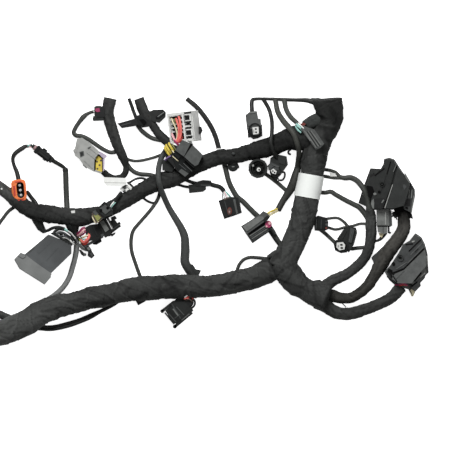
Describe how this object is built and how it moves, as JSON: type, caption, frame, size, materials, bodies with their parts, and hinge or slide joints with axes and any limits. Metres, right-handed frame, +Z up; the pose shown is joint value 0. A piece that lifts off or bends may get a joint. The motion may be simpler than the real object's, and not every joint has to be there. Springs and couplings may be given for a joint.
{
  "type": "vehicle wiring harness",
  "caption": "Taped vehicle wiring harness laid out flat, with trunk bundles, branch limbs, thin leads, a white label sleeve and moulded connectors.",
  "frame": {"origin": "middle of the three taped trunks' box in plan, at the height of the surface the harness lies on", "axes": "+X to the right along the lower trunk, +Y up the riser trunk, +Z up out of the flat layout"},
  "size_m": [0.5516, 0.3027, 0.0406],
  "materials": {
    "cloth_tape": "black woven harness tape, matt, with overlapping wraps",
    "black_tube": "black soft tubing and tape, slightly glossy",
    "white_label": "white matt label band, no print",
    "orange_plastic": "orange moulded plastic",
    "black_plastic": "black moulded plastic, fine grain",
    "dark_grey_plastic": "dark grey moulded plastic, fine grain",
    "grey_plastic": "light grey moulded plastic",
    "white_plastic": "white moulded plastic"
  },
  "bodies": {
    "root": {"trunk_riser": "cloth_tape", "trunk_lower": "cloth_tape", "trunk_middle": "cloth_tape", "junction_wrap": "cloth_tape", "limb_ecu_a": "cloth_tape", "limb_right_inner": "cloth_tape", "limb_ecu_b": "cloth_tape", "limb_upper_left": "cloth_tape", "limb_upper_mid": "cloth_tape", "limb_pigtail": "cloth_tape", "limb_fan": "cloth_tape", "label_sleeve": "white_label", "orange_connector": "orange_plastic", "inline_plug": "black_plastic", "grey_connector": "grey_plastic", "white_block": "white_plastic", "upper_left_plug": "black_plastic", "rack_connector": "grey_plastic", "relay_connector": "black_plastic", "taped_plug": "black_plastic", "bulb_plug": "black_plastic", "square_plug": "black_plastic", "wide_plug": "dark_grey_plastic", "round_socket": "black_plastic", "round_plug": "black_plastic", "two_way_plug": "dark_grey_plastic", "ribbed_plug": "dark_grey_plastic", "side_plug": "black_plastic", "oval_plug": "black_plastic", "light_grey_plug": "grey_plastic", "ecu_connector_a": "dark_grey_plastic", "ecu_connector_b": "dark_grey_plastic", "housing": "dark_grey_plastic", "small_low_plug": "black_plastic", "red_wire_plug": "black_plastic", "olive_plug": "black_plastic", "lower_plug": "black_plastic", "edge_clip": "black_plastic", "capped_ear": "black_plastic", "header": "black_tube", "conduit": "black_tube", "lead_orange": "black_tube", "loop_upper_left": "black_tube", "lead_a": "black_tube", "link_b": "black_tube", "link_h": "black_tube", "link_k": "black_tube", "lead_c": "black_tube", "lead_d": "black_tube", "lead_e": "black_tube", "lead_o": "black_tube", "link_ij": "black_tube", "lead_oval": "black_tube", "loop_j1": "black_tube", "lead_m": "black_tube", "lead_left": "black_tube", "lead_f1": "black_tube", "lead_f2": "black_tube", "loop_lower": "black_tube", "branch_a2": "black_tube"}
  },
  "joints": []
}
